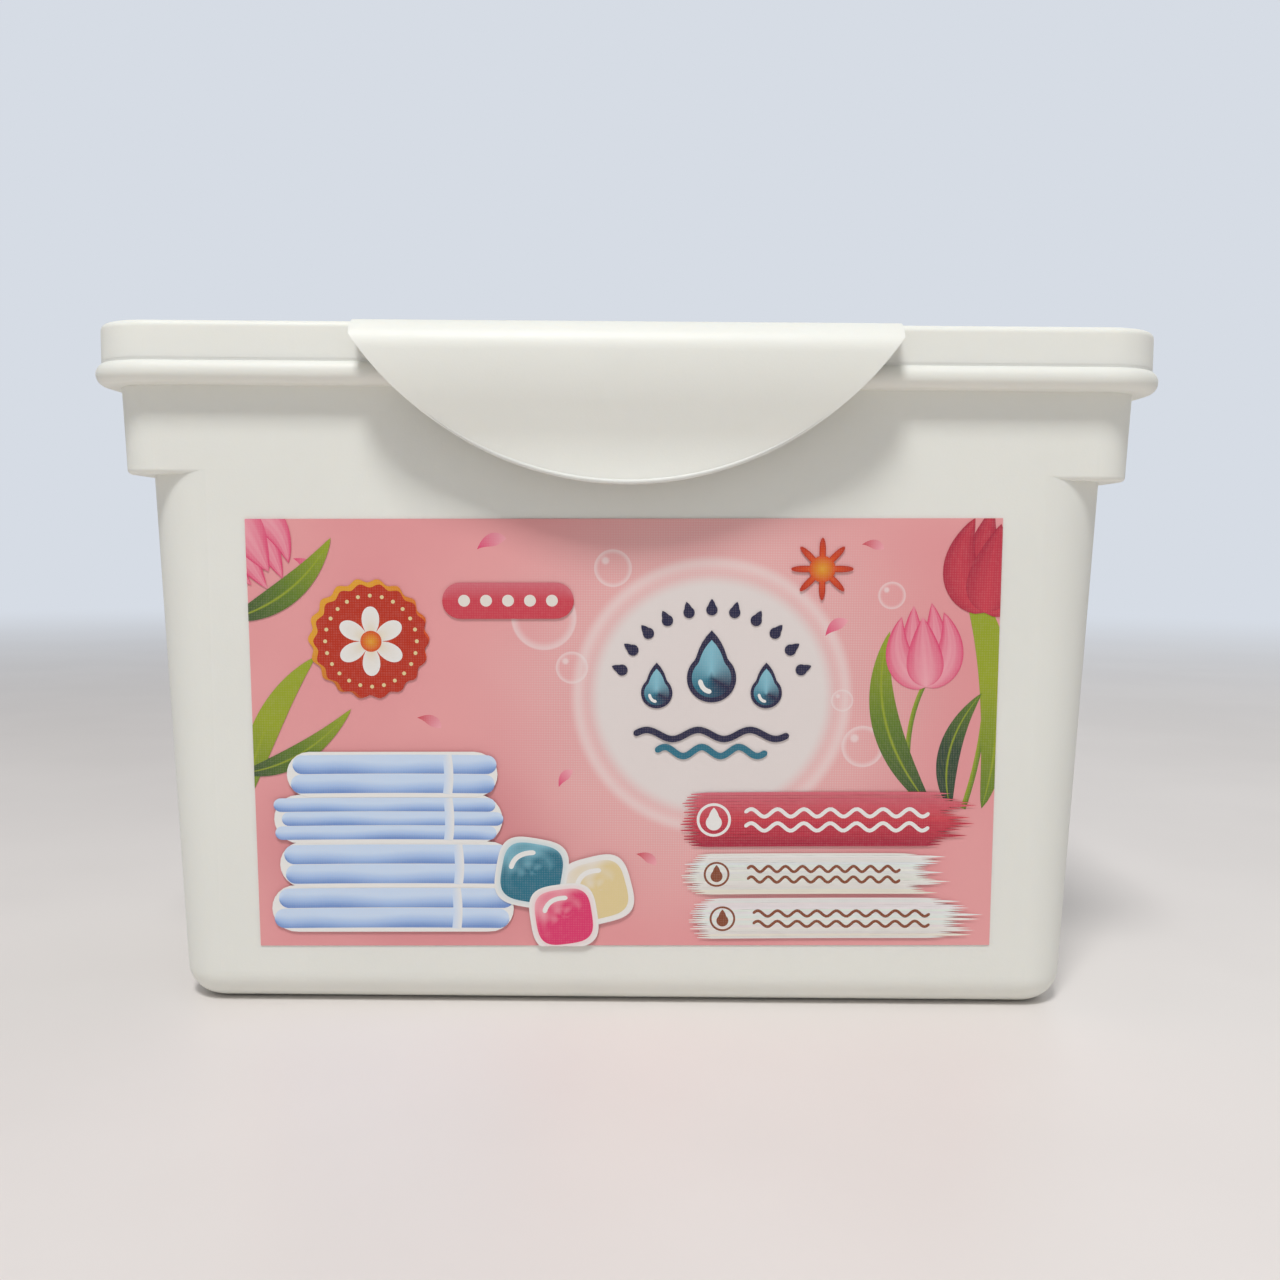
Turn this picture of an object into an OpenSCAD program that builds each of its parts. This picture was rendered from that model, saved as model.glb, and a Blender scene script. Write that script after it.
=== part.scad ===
// Pack of laundry pods: a rectangular moulded tub, its hinged lid with a half-moon pull tab, a printed
// label on the front wall and thirty pods inside. The origin is the centre of the foot. Z points up,
// X runs along the width, and the front, with the tab and the label, faces -Y.

/* [Tub] */
// Width over the rim bead
bead_w = 170; // [168:1:200]
// Depth over the rim bead
bead_d = 80; // [78:1:110]
// Height of the rim bead's top above the foot
tub_h = 104.4; // [102:0.2:120]
// Height of the bead itself, which is also its rounding
bead_t = 3.8; // [3:0.1:5]
// How far the bead stands out from the wall below it
bead_out = 3.65; // [3:0.05:4.5]
// Corner radius of the bead, seen from above
bead_r = 10.4; // [10:0.1:16]
// Height of the underside of the shoulders at the two ends
step_z = 86.9; // [78:0.1:94]
// How far each end wall steps in below its shoulder
step_in = 2.6; // [1.6:0.1:3.6]
// Rounding of the shoulders' lower edge
shoulder_r = 0.8; // [0.5:0.1:1.2]
// Corner radius of the body just below the shoulders
body_r = 11.5; // [10.5:0.1:16]
// Fillet round the foot
foot_r = 5.5; // [3.5:0.1:6.5]
// Draft of all walls, in degrees
draft = 2.8; // [1.5:0.1:3.2]
// Thickness of the tub's walls and floor
wall_t = 1.5; // [1.2:0.1:2]

/* [Lid] */
// Height of the lid's skirt, from its lower edge to the lid's top
lid_h = 5.8; // [4.8:0.1:8]
// How far the lid's skirt stands inside the bead
lid_in = 0.9; // [0.5:0.1:1.4]
// Thickness of the lid's skirt
skirt_t = 1.5; // [1.2:0.1:2]
// Thickness of the lid's top plate
plate_t = 1.6; // [1.2:0.1:2]
// Rounding of the lid's top edge
lid_edge_r = 1; // [0.5:0.1:1.4]
// Gap of the seam between the skirt and the bead
seam_gap = 0.1; // [0.05:0.05:0.3]
// How deep the lid's locating rim reaches into the tub's mouth
plug_h = 3; // [2:0.1:4]
// Thickness of the locating rim
plug_t = 1.2; // [1:0.1:1.6]
// Clearance between the locating rim and the tub's wall
plug_gap = 0.5; // [0.4:0.05:0.8]

/* [Pull tab] */
// Radius of the tab's half-moon outline, seen from the front
tab_r = 50.6; // [44:0.1:60]
// Drop of the tab's tip below the lid's top
tab_drop = 24.8; // [22:0.1:28]
// Width of the tab at its root on the lid
tab_root_w = 83.5; // [74:0.5:92]
// Thickness of the tab
tab_t = 1.6; // [1.2:0.1:2]
// How far the front of the tab stands out from the lid's skirt
tab_out = 5.9; // [5.4:0.1:8]
// Outer radius of the roll from the lid's top into the tab
tab_roll_r = 5; // [4:0.1:6]
// How far the roll starts below the lid's top, where the two meet in a faint line
tab_sink = 0.05; // [0.02:0.01:0.2]
// Radius of the long bow below the roll
tab_bow_r = 26; // [20:1:32]
// Angle at which the tab leans back towards the wall below its bow, in degrees
tab_lean = 17; // [8:1:18]
// Height of the flare above the tab's tip
tab_flare_h = 7.9; // [6:0.1:9]
// Radius of the flare at the tab's tip
tab_flare_r = 18; // [14:0.5:24]

/* [Hinge] */
// Distance of each hinge from the middle of the rear edge
hinge_x = 48; // [30:1:60]
// Width of the lid's knuckle
knuckle_w = 12; // [8:0.5:20]
// Outer radius of the knuckle
knuckle_r = 2.4; // [2.2:0.1:2.5]
// Thickness of each of the tub's ears
ear_t = 3; // [2:0.1:4]
// Outer radius of the ears
ear_r = 2.6; // [2.4:0.1:2.8]
// Radius of the stub pins at the knuckle's two ends
pin_r = 1.4; // [1:0.1:1.5]
// Radial clearance of the pins in the ears
pin_gap = 0.08; // [0.04:0.01:0.1]
// Side clearance between a knuckle and its ears
side_gap = 0.3; // [0.2:0.05:0.5]
// How far the hinge axis lies behind the bead
axis_back = 2.3; // [2.2:0.1:3.5]
// Height of the hinge axis above the bead
axis_up = 0.2; // [0:0.1:0.8]

/* [Label] */
// Width of the label
label_w = 120; // [90:1:126]
// Height of the label
label_h = 70; // [50:1:74]
// Thickness of the label's film
label_t = 0.15; // [0.1:0.01:0.3]
// Height of the label's centre above the foot
label_z = 45.4; // [42:0.1:50]
// Turn of the label on the wall, in degrees, as it was stuck on slightly crooked
label_turn = 0.5; // [0:0.1:1]
// Glue layer behind the label
label_gap = 0.02; // [0.01:0.01:0.05]

/* [Pods] */
// Number of pods the pack is sold with
pods_wanted = 30; // [12:1:40]
// Width of a pod over its sealed rim
pod_w = 34; // [30:0.5:34.5]
// Thickness of a pod
pod_t = 16.6; // [14:0.1:16.8]
// Number of layers of flat pods beside each row of pods that stand on edge
flat_layers = 2; // [1:1:2]
// Corner radius of a pod
pod_r = 9; // [7:0.5:12]
// Width of the sealed rim round a pod
seal_w = 2; // [1.5:0.1:2.5]
// Thickness of the sealed rim
seal_t = 1; // [0.6:0.1:1.2]
// Reach of the rounding of the large lower chamber
base_reach = 20; // [19:0.5:24]
// Radius of each of the three small upper chambers
lobe_r = 9.5; // [9:0.1:11]
// Distance of each upper chamber from the pod's middle
lobe_off = 6.8; // [5:0.1:8]
// Gap between neighbouring pods
pod_gap = 0.3; // [0.2:0.05:0.5]
// How far a pod settles between the chambers of those it lies on
nest = 0.4; // [0:0.1:0.5]
// Gap between the lying pods and the tub's walls
wall_gap = 1; // [0.8:0.1:1.5]
// Gap between the pods that stand on edge and the tub's walls
edge_gap = 3; // [1:0.5:4]

/* [Hidden] */
$fn = 96;
slop = 0.5;
bite = 0.005; // a fillet's circle stands this far out of the faces it rounds, so that they cross
slope = tan(draft);
lobes = 3;
quarter = 90;

// Rim and corner axes, shared by the bead, the shoulders and the lid
axis_x = bead_w / 2 - bead_r;
axis_y = bead_d / 2 - bead_r;
band_r = bead_r - bead_out;
mouth_x = bead_w / 2 - bead_out;
mouth_y = bead_d / 2 - bead_out;

// Corner axes of the body below the shoulders
body_half_x = mouth_x - (tub_h - step_z) * slope - step_in;
body_half_y = mouth_y - (tub_h - step_z) * slope;
body_axis_x = body_half_x - body_r;
body_axis_y = body_half_y - body_r;

// Lid
seam_z = tub_h + seam_gap;
lid_top = seam_z + lid_h;
lid_r = bead_r - lid_in;
lid_back = bead_d / 2 - lid_in;
plug_r = band_r - wall_t / cos(draft) - plug_h * slope - plug_gap;

// Pull tab: where its section starts inside the skirt and the middles of its roll, bow and flare, all
// measured forwards from the middle and up, and the angle at which it ends below the tip
tab_tip_z = lid_top - tab_drop;
tab_root = [lid_back - lid_edge_r - skirt_t / 5, lid_top - tab_sink];
roll = [lid_back + tab_out - tab_roll_r, tab_root.y - tab_roll_r];
bow = [roll.x + tab_roll_r - tab_bow_r, roll.y];
bend_z = tab_tip_z + tab_flare_h;
bend_y = bow.x + tab_bow_r / cos(tab_lean) - (bow.y - bend_z) * tan(tab_lean);
flare = [bend_y + tab_flare_r * cos(tab_lean), bend_z - tab_flare_r * sin(tab_lean)];
flare_end = 2 * quarter + asin((flare.y - tab_tip_z + slop) / tab_flare_r);
arc_steps = 24;

// Hinge
hinge_y = bead_d / 2 + axis_back;
hinge_z = tub_h + axis_up;
ear_x = knuckle_w / 2 + side_gap;

// Pods: each full level has a row of flat pods, stacked in layers, and a row that stands on edge. The
// rows swap sides from level to level, so that flat pods lie on standing ones. On top lie loose pods,
// and where two rows of them are wider than the tub, the second row leans against its wall
pod_half = pod_t / 2;
floor_z = wall_t + pod_gap;
layer_h = pod_t + pod_gap - nest;
stack_h = flat_layers * layer_h + nest / 2;
edge_h = pod_w + pod_gap - nest;
columns = floor((2 * inner_x(floor_z) - 2 * wall_gap + pod_gap) / (pod_w + 2 * pod_gap));
level_pods = columns * (flat_layers + 1);
base_r = (base_reach * base_reach + pod_half * pod_half) / pod_t;
lean = acos(min(1, (2 * inner_y(step_z) - 2 * wall_gap - pod_gap - pod_w) / pod_w));
lean_lift = (base_r - pod_half) * (1 - cos(lean));
lobe_top = lobe_r + lobe_off * sin(lean) + (pod_half - lobe_r) * cos(lean);
loose_h = pod_half + lean_lift + max(lobe_top, seal_t / 2 + pod_w / 2 * sin(lean));
levels_high = max([for (n = [0:pods_wanted]) if (level_z(n, true) + loose_h <= tub_h - plug_h) n]);
full_levels = min(levels_high, floor(pods_wanted / level_pods));
pod_count = min(pods_wanted, full_levels * level_pods + 2 * columns);
POD_NAMES = [for (k = [1:pod_count]) str("pod_", k < 10 ? "0" : "", k)];

// Half width and half depth of the space inside the tub's body at a height
function inner_x(z) = body_half_x - (step_z - z) * slope - wall_t / cos(draft);
function inner_y(z) = body_half_y - (step_z - z) * slope - wall_t / cos(draft);

// A number between -1 and 1 that differs from pod to pod and from one use to the next
function sway(k, use) = sin(137.5 * k + 61 * use);

// A solid with four round corners: the outline of a side, drawn from a corner's axis outwards and
// between two heights, goes round the four axes at (half_x, half_y). The block between two outlines
// reaches a little into both, so that they join without a wall between them
module round_the_corners(half_x, half_y, low, high) {
    for (side = [[quarter, half_y * 2, half_x], [0, half_x * 2, half_y]])
        rotate([0, 0, side[0] - quarter])
            rotate([quarter, 0, 0])
                linear_extrude(side[1], center = true) {
                    translate([-side[2] - slop, low])
                        square([2 * (side[2] + slop), high - low]);
                    for (m = [0, 1])
                        mirror([m, 0])
                            translate([side[2], 0])
                                children();
                }
    for (x = [-half_x, half_x], y = [-half_y, half_y])
        translate([x, y])
            rotate_extrude()
                children();
}

// Outline of a drafted wall, with radius r at height 0, between two heights
module wall_outline(r, low, high) {
    polygon([[0, low], [r + low * slope, low], [r + high * slope, high], [0, high]]);
}

// The same outline with its lower edge rounded
module footed_outline(r, low, high, fillet) {
    z = low + fillet;
    x = r + z * slope - fillet / cos(draft);
    intersection() {
        union() {
            translate([x + bite, z - bite])
                circle(fillet);
            polygon([
                [0, low], [x, low],
                [x + fillet * cos(draft), z - fillet * sin(draft)],
                [r + high * slope, high], [0, high]
            ]);
        }
        translate([0, low])
            square([r + high * slope + slop, high - low]);
    }
}

// Outline of the half-round bead
module bead_outline() {
    translate([0, tub_h - bead_t])
        square([bead_r - bead_t / 2, bead_t]);
    translate([bead_r - bead_t / 2, tub_h - bead_t / 2])
        intersection() {
            circle(bead_t / 2);
            translate([0, -bead_t / 2])
                square([bead_t, bead_t]);
        }
}

// Outline of the lid's outside, with its rounded top edge
module lid_outline() {
    translate([0, seam_z])
        square([lid_r, lid_h - lid_edge_r]);
    translate([0, seam_z])
        square([lid_r - lid_edge_r, lid_h]);
    translate([lid_r - lid_edge_r, lid_top - lid_edge_r])
        circle(lid_edge_r);
}

// One ear of the tub's hinge, from the back of the bead to the axis
module ear_outline() {
    root_y = bead_d / 2 - bead_t / 2 - slop;
    neck_z = tub_h - slop;
    translate([hinge_y, hinge_z])
        circle(ear_r);
    polygon([
        [root_y, tub_h - bead_t], [hinge_y, hinge_z - ear_r], [hinge_y, hinge_z],
        [hinge_y - ear_r, hinge_z], [hinge_y - ear_r, neck_z], [root_y, neck_z]
    ]);
}

// The lid's knuckle and the web that joins it to the skirt
module knuckle_outline() {
    translate([hinge_y, hinge_z])
        circle(knuckle_r);
    polygon([
        [lid_back - slop, seam_z], [hinge_y, seam_z],
        [hinge_y, hinge_z + knuckle_r], [lid_back - slop, hinge_z + knuckle_r]
    ]);
}

// A slab across the width with the given outline in the YZ plane, between two places along X
module across(from, to) {
    translate([from, 0, 0])
        rotate([quarter, 0, quarter])
            linear_extrude(to - from)
                children();
}

module tub() {
    color("whitesmoke")
        difference() {
            union() {
                round_the_corners(body_axis_x, body_axis_y, 0, step_z + wall_t)
                    footed_outline(body_r - step_z * slope, 0, step_z + wall_t, foot_r);
                round_the_corners(axis_x, axis_y, step_z, tub_h)
                    footed_outline(band_r - tub_h * slope, step_z, tub_h, shoulder_r);
                round_the_corners(axis_x, axis_y, tub_h - bead_t, tub_h)
                    bead_outline();
                for (x = [-hinge_x, hinge_x], side = [-1, 1])
                    translate([x + side * (ear_x + ear_t / 2), 0, 0])
                        across(-ear_t / 2, ear_t / 2)
                            ear_outline();
            }
            tub_hollow();
            for (x = [-hinge_x, hinge_x])
                across(x - ear_x - ear_t - slop, x + ear_x + ear_t + slop)
                    translate([hinge_y, hinge_z])
                        circle(pin_r + pin_gap);
        }
}

// The space inside the tub, one wall's thickness inside its outer faces
module tub_hollow() {
    skin = wall_t / cos(draft);
    round_the_corners(body_axis_x, body_axis_y, wall_t, step_z + 2 * wall_t)
        footed_outline(body_r - step_z * slope - skin, wall_t, step_z + 2 * wall_t, foot_r - wall_t);
    round_the_corners(axis_x, axis_y, step_z + wall_t, tub_h + slop)
        wall_outline(band_r - tub_h * slope - skin, step_z + wall_t, tub_h + slop);
}

module lid() {
    color("white") {
        difference() {
            round_the_corners(axis_x, axis_y, seam_z, lid_top)
                lid_outline();
            round_the_corners(axis_x, axis_y, seam_z - slop, lid_top - plate_t)
                translate([0, seam_z - slop])
                    square([lid_r - skirt_t, lid_h - plate_t + slop]);
        }
        locating_rim();
        pull_tab();
        for (x = [-hinge_x, hinge_x]) {
            across(x - knuckle_w / 2, x + knuckle_w / 2)
                knuckle_outline();
            across(x - ear_x - ear_t, x + ear_x + ear_t)
                translate([hinge_y, hinge_z])
                    circle(pin_r);
        }
    }
}

// The low rim under the lid that drops into the tub's mouth
module locating_rim() {
    low = tub_h - plug_h;
    high = lid_top - plate_t / 2;
    difference() {
        round_the_corners(axis_x, axis_y, low, high)
            translate([0, low])
                square([plug_r, high - low]);
        round_the_corners(axis_x, axis_y, low - slop, high + slop)
            translate([0, low - slop])
                square([plug_r - plug_t, high - low + 2 * slop]);
    }
}

// The half-moon tab: a bent sheet across the front, trimmed to a round outline
module pull_tab() {
    intersection() {
        mirror([0, 1, 0])
            across(-tab_root_w / 2, tab_root_w / 2)
                tab_section();
        translate([0, 0, tab_tip_z + tab_r])
            rotate([quarter, 0, 0])
                cylinder(h = bead_d, r = tab_r);
    }
}

// Section of the tab: a roll from the lid's top, a long bow, a flat that leans back, and a flare at the
// tip. Its rear end is buried in the skirt
module tab_section() {
    polygon(concat(
        [tab_root],
        arc(roll, tab_roll_r, quarter, 0),
        arc(bow, tab_bow_r, 0, -tab_lean, 1),
        arc(flare, tab_flare_r, 2 * quarter - tab_lean, flare_end),
        arc(flare, tab_flare_r + tab_t, flare_end, 2 * quarter - tab_lean),
        arc(bow, tab_bow_r - tab_t, -tab_lean, 0),
        arc(roll, tab_roll_r - tab_t, 0, quarter, 1),
        [tab_root - [0, tab_t]]
    ));
}

// Points of an arc round a centre, between two angles. Where it meets another arc it leaves out its first
// point, which the other one has
function arc(centre, r, from, to, first = 0) = [
    for (k = [first:arc_steps]) let (angle = from + (to - from) * k / arc_steps)
        centre + r * [cos(angle), sin(angle)]
];

module front_label() {
    wall_y = body_half_y - (step_z - label_z) * slope;
    color("lightpink")
        translate([0, -wall_y, label_z])
            rotate([draft, 0, 0])
                rotate([0, -label_turn, 0])
                    translate([-label_w / 2, -label_gap - label_t, -label_h / 2])
                        cube([label_w, label_t, label_h]);
}

module rounded_square(w, r) {
    square([w, w - 2 * r], center = true);
    square([w - 2 * r, w], center = true);
    for (x = [-1, 1], y = [-1, 1])
        translate([x, y] * (w / 2 - r))
            circle(r);
}

// One pod lying flat about its own centre: a sealed rim, a large chamber below and three small ones above
module pod_solid() {
    linear_extrude(seal_t, center = true)
        rounded_square(pod_w, pod_r);
    intersection() {
        union() {
            intersection() {
                translate([0, 0, base_r - pod_half])
                    sphere(base_r);
                translate([0, 0, -pod_half])
                    cube([2 * pod_w, 2 * pod_w, pod_t], center = true);
            }
            intersection() {
                for (k = [1:lobes])
                    rotate([0, 0, k * 360 / lobes])
                        translate([lobe_off, 0, pod_half - lobe_r])
                            sphere(lobe_r);
                translate([0, 0, pod_half])
                    cube([2 * pod_w, 2 * pod_w, pod_t], center = true);
            }
        }
        linear_extrude(2 * pod_t, center = true)
            rounded_square(pod_w - 2 * seal_w, pod_r - seal_w);
    }
}

// Place along the width of a column of pods, spread between the end walls at height z
function column_x(column, z) = let (half = inner_x(z) - wall_gap - pod_w / 2)
    columns < 2 ? 0 : -half + 2 * half * column / (columns - 1);

// Height at which a level starts, in the row of its flat pods or in its other row
function level_z(level, flat) = floor_z + ceil(level / 2) * (flat ? edge_h : stack_h)
    + floor(level / 2) * (flat ? stack_h : edge_h);

// Pod number k, counted from 0: the full levels from the floor up, then the loose layer on top, where
// the second row leans against the wall
module laundry_pod(k) {
    level = min(full_levels, floor(k / level_pods));
    slot = k - level * level_pods;
    row = floor(slot / columns);
    loose = level == full_levels;
    leans = loose && row == 1;
    stands = !loose && row == flat_layers;
    low = level_z(level, !leans && !stands);
    rear = level % 2 == 0 ? 1 : -1;
    y = stands ? -rear * (inner_y(low) - edge_gap - pod_half)
        : leans ? -rear * (inner_y(low + pod_t) - wall_gap - pod_w / 2 * cos(lean))
        : rear * (inner_y(low + pod_half) - wall_gap - pod_w / 2);
    z = stands ? pod_w / 2
        : leans ? pod_half + lean_lift
        : pod_half + row * layer_h;
    tilt = loose && !leans ? 2 : 1;
    color(["lightblue", "pink", "moccasin"][k % lobes])
        translate([column_x(slot % columns, low), y, low + z])
            rotate([stands ? quarter : leans ? -rear * lean : 0, 0, 0])
                rotate([tilt * sway(k, 1), tilt * sway(k, 2), quarter * (k % lobes) + tilt * sway(k, 3)])
                    pod_solid();
}

tub();
lid();
front_label();
for (k = [0:pod_count - 1]) laundry_pod(k);
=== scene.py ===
"""Looks of a pack of laundry pods: a white tub with a hinged lid, its printed label and its pods."""

import logging
import math
import random
from dataclasses import dataclass, field
from enum import Enum
from typing import Callable, Sequence

import bmesh
import bpy
from mathutils import Euler, Matrix, Vector, noise


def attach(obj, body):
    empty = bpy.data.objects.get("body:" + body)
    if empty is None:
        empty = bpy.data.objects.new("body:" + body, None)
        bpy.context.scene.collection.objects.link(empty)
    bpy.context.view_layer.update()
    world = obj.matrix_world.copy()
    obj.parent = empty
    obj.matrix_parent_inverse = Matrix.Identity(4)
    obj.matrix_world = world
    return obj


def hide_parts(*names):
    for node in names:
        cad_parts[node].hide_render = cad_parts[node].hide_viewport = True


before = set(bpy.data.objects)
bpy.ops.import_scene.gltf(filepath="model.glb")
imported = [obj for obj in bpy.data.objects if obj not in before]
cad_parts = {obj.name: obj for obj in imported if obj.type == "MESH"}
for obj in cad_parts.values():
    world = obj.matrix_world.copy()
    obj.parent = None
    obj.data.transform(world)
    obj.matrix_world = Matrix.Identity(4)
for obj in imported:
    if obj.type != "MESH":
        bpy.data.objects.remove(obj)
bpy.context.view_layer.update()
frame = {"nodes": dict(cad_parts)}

log = logging.getLogger("pack")

MM = 0.001
Colour = tuple[float, float, float]
Value = "Wire | float | Sequence[float]"


def linear(red: int, green: int, blue: int) -> Colour:
    """Turns a colour as seen on a screen, 0 to 255, into the linear values that a shader takes."""

    def one(byte: int) -> float:
        """Turns one channel into its linear value."""
        share = byte / 255
        return share / 12.92 if share <= 0.04045 else ((share + 0.055) / 1.055) ** 2.4

    return (one(red), one(green), one(blue))


# Materials


class Wire:
    """A socket of a material, with its maths written as expressions."""

    def __init__(self, paint: "Paint", socket: bpy.types.NodeSocket) -> None:
        """Holds the socket and the material that it belongs to."""
        self.paint = paint
        self.socket = socket

    def __add__(self, other: Value) -> "Wire":
        """Adds."""
        return self.paint.math("ADD", self, other)

    def __radd__(self, other: Value) -> "Wire":
        """Adds, reflected."""
        return self.paint.math("ADD", other, self)

    def __sub__(self, other: Value) -> "Wire":
        """Subtracts."""
        return self.paint.math("SUBTRACT", self, other)

    def __rsub__(self, other: Value) -> "Wire":
        """Subtracts, reflected."""
        return self.paint.math("SUBTRACT", other, self)

    def __mul__(self, other: Value) -> "Wire":
        """Multiplies."""
        return self.paint.math("MULTIPLY", self, other)

    def __rmul__(self, other: Value) -> "Wire":
        """Multiplies, reflected."""
        return self.paint.math("MULTIPLY", other, self)

    def __truediv__(self, other: Value) -> "Wire":
        """Divides."""
        return self.paint.math("DIVIDE", self, other)

    def __pow__(self, other: Value) -> "Wire":
        """Raises to a power."""
        return self.paint.math("POWER", self, other)


class Paint:
    """One material that is being built from nodes."""

    def __init__(self, name: str) -> None:
        """Starts a material with a Principled shader and its output.

        Args:
            name: The material's name.
        """
        self.material = bpy.data.materials.new(name)
        self.material.use_nodes = True
        self.tree = self.material.node_tree
        self.tree.nodes.clear()
        self.shader = self.tree.nodes.new("ShaderNodeBsdfPrincipled")
        self.output = self.tree.nodes.new("ShaderNodeOutputMaterial")
        self.tree.links.new(self.shader.outputs[0], self.output.inputs["Surface"])

    def put(self, socket: bpy.types.NodeSocket, value: Value) -> None:
        """Links a wire to a socket, or sets the socket to a plain value."""
        if isinstance(value, Wire):
            self.tree.links.new(value.socket, socket)
        elif isinstance(value, (int, float)):
            socket.default_value = value
        else:
            given = tuple(value)
            size = len(socket.default_value)
            socket.default_value = given + (1.0,) * (size - len(given))

    def node(
        self,
        kind: str,
        settings: dict[str, object] | None = None,
        values: dict[str | int, Value] | None = None,
        output: str | int = 0,
    ) -> Wire:
        """Adds any node.

        Args:
            kind: The node's type, without its ShaderNode prefix.
            settings: The node's own settings, set before its sockets.
            values: Socket name or number, and what goes into it.
            output: The output that the wire starts from.

        Returns:
            The wire from that output.
        """
        made = self.tree.nodes.new("ShaderNode" + kind)
        for key, setting in (settings or {}).items():
            if key == "stops":
                self.set_stops(made.color_ramp, setting)
            else:
                setattr(made, key, setting)
        for key, value in (values or {}).items():
            self.put(made.inputs[key], value)
        return Wire(self, made.outputs[output])

    @staticmethod
    def set_stops(ramp: bpy.types.ColorRamp, stops: Sequence[tuple[float, Sequence[float]]]) -> None:
        """Sets the stops of a colour ramp, given as places and colours."""
        while len(ramp.elements) < len(stops):
            ramp.elements.new(1.0)
        for element, (place, colour) in zip(ramp.elements, stops):
            element.position = place
            element.color = tuple(colour) + (1.0,) * (4 - len(colour))

    def math(self, operation: str, first: Value, second: Value = 0.0, clamp: bool = False) -> Wire:
        """Adds a Math node on one or two values."""
        return self.node(
            "Math", {"operation": operation, "use_clamp": clamp}, {0: first, 1: second}
        )

    def mix(self, share: Value, first: Value, second: Value, blend: str = "MIX") -> Wire:
        """Mixes two colours.

        Args:
            share: How much of the second colour shows, 0 to 1.
            first: The first colour.
            second: The second colour.
            blend: The way they mix.

        Returns:
            The mixed colour.
        """
        return self.node(
            "Mix",
            {"data_type": "RGBA", "blend_type": blend, "clamp_factor": True},
            {0: share, 6: first, 7: second},
            output=2,
        )

    def steps(self, value: Value, low: float, high: float) -> Wire:
        """Returns 0 below low and 1 above high, with a smooth step between them."""
        return self.node(
            "MapRange",
            {"interpolation_type": "SMOOTHSTEP"},
            {"Value": value, "From Min": low, "From Max": high},
        )

    def below(self, value: Value, low: float, high: float) -> Wire:
        """Returns 1 below low and 0 above high, with a smooth step between them."""
        return 1.0 - self.steps(value, low, high)

    def band(self, value: Value, low: float, middle: float, high: float) -> Wire:
        """Returns 1 at the middle and 0 below low and above high, with smooth steps between them."""
        return self.steps(value, low, middle) * self.below(value, middle, high)

    def length(self, vector: Wire) -> Wire:
        """Returns the length of a vector."""
        return self.node("VectorMath", {"operation": "LENGTH"}, {0: vector}, "Value")

    def place(self) -> Wire:
        """Returns the point on the object in millimetres."""
        point = self.node("TexCoord", output="Object")
        return self.node("VectorMath", {"operation": "SCALE"}, {0: point, "Scale": 1 / MM})

    def parts(self, vector: Wire) -> tuple[Wire, Wire, Wire]:
        """Returns the three parts of a vector."""
        made = self.tree.nodes.new("ShaderNodeSeparateXYZ")
        self.put(made.inputs[0], vector)
        return tuple(Wire(self, made.outputs[k]) for k in range(3))

    def noise(self, point: Wire, scale: float, detail: float = 2.0, rough: float = 0.5) -> Wire:
        """Returns noise, about 0.3 to 0.7, on a point in millimetres."""
        return self.node(
            "TexNoise",
            None,
            {"Vector": point, "Scale": scale, "Detail": detail, "Roughness": rough},
        )

    def bump(self, height: Value, strength: float, distance: float) -> Wire:
        """Returns a normal bent by a height, whose distance is in metres."""
        return self.node(
            "Bump", None, {"Height": height, "Strength": strength, "Distance": distance}, output=0
        )

    def finish(self, **sockets: Value) -> bpy.types.Material:
        """Fills the shader's sockets, named with underscores for spaces, and returns the material."""
        for name, value in sockets.items():
            self.put(self.shader.inputs[name.replace("_", " ")], value)
        return self.material


@dataclass(frozen=True)
class MouldedPlastic:
    """Satin white polypropylene, slightly see-through, with a fine mould texture."""

    name: str
    colour: Colour
    roughness: float = 0.45
    shine: float = 0.42
    glow_through: float = 0.25
    depth_mm: float = 2.0
    cloud_scale: float = 0.035
    swirl_scale: float = 0.3
    grain_scale: float = 2.6

    def material(self) -> bpy.types.Material:
        """Builds the material.

        Returns:
            The finished material.
        """
        paint = Paint(self.name)
        point = paint.place()
        cloud = paint.noise(point, self.cloud_scale, 3.0)
        grain = paint.noise(point, self.grain_scale, 3.0, 0.6)
        swirl = paint.noise(point, self.swirl_scale, 4.0, 0.6)
        tone = paint.mix(
            paint.steps(cloud, 0.35, 0.65),
            tuple(c * 0.985 for c in self.colour),
            self.colour,
        )
        return paint.finish(
            Base_Color=tone,
            Roughness=self.roughness + (swirl - 0.5) * 0.16,
            Subsurface_Weight=self.glow_through,
            Subsurface_Radius=(1.0, 0.9, 0.75),
            Subsurface_Scale=self.depth_mm * MM,
            Specular_IOR_Level=self.shine,
            IOR=1.49,
            Normal=paint.bump(grain, 0.12, 0.00012),
        )


def film_surface(paint: Paint, point: Wire, roughness: Value) -> dict[str, Value]:
    """Returns what the label's film and its inks share: their gloss and a faintly uneven surface."""
    return {
        "Roughness": roughness,
        "IOR": 1.46,
        "Specular_IOR_Level": 0.4,
        "Normal": paint.bump(paint.noise(point, 1.1, 2.0), 0.08, 0.00008),
    }


@dataclass(frozen=True)
class Halftone:
    """Rows of fine printed dots, turned by 45 degrees, as offset printing leaves them."""

    pitch_mm: float = 0.56

    def dots(self, paint: Paint, x: Wire, z: Wire) -> Wire:
        """Returns 1 in the middle of each dot, falling to 0 between them."""
        turns = 2 * math.pi / self.pitch_mm / math.sqrt(2)
        first = paint.math("SINE", (x + z) * turns)
        second = paint.math("SINE", (x - z) * turns)
        return paint.steps(first * second, -0.25, 0.75)


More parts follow.
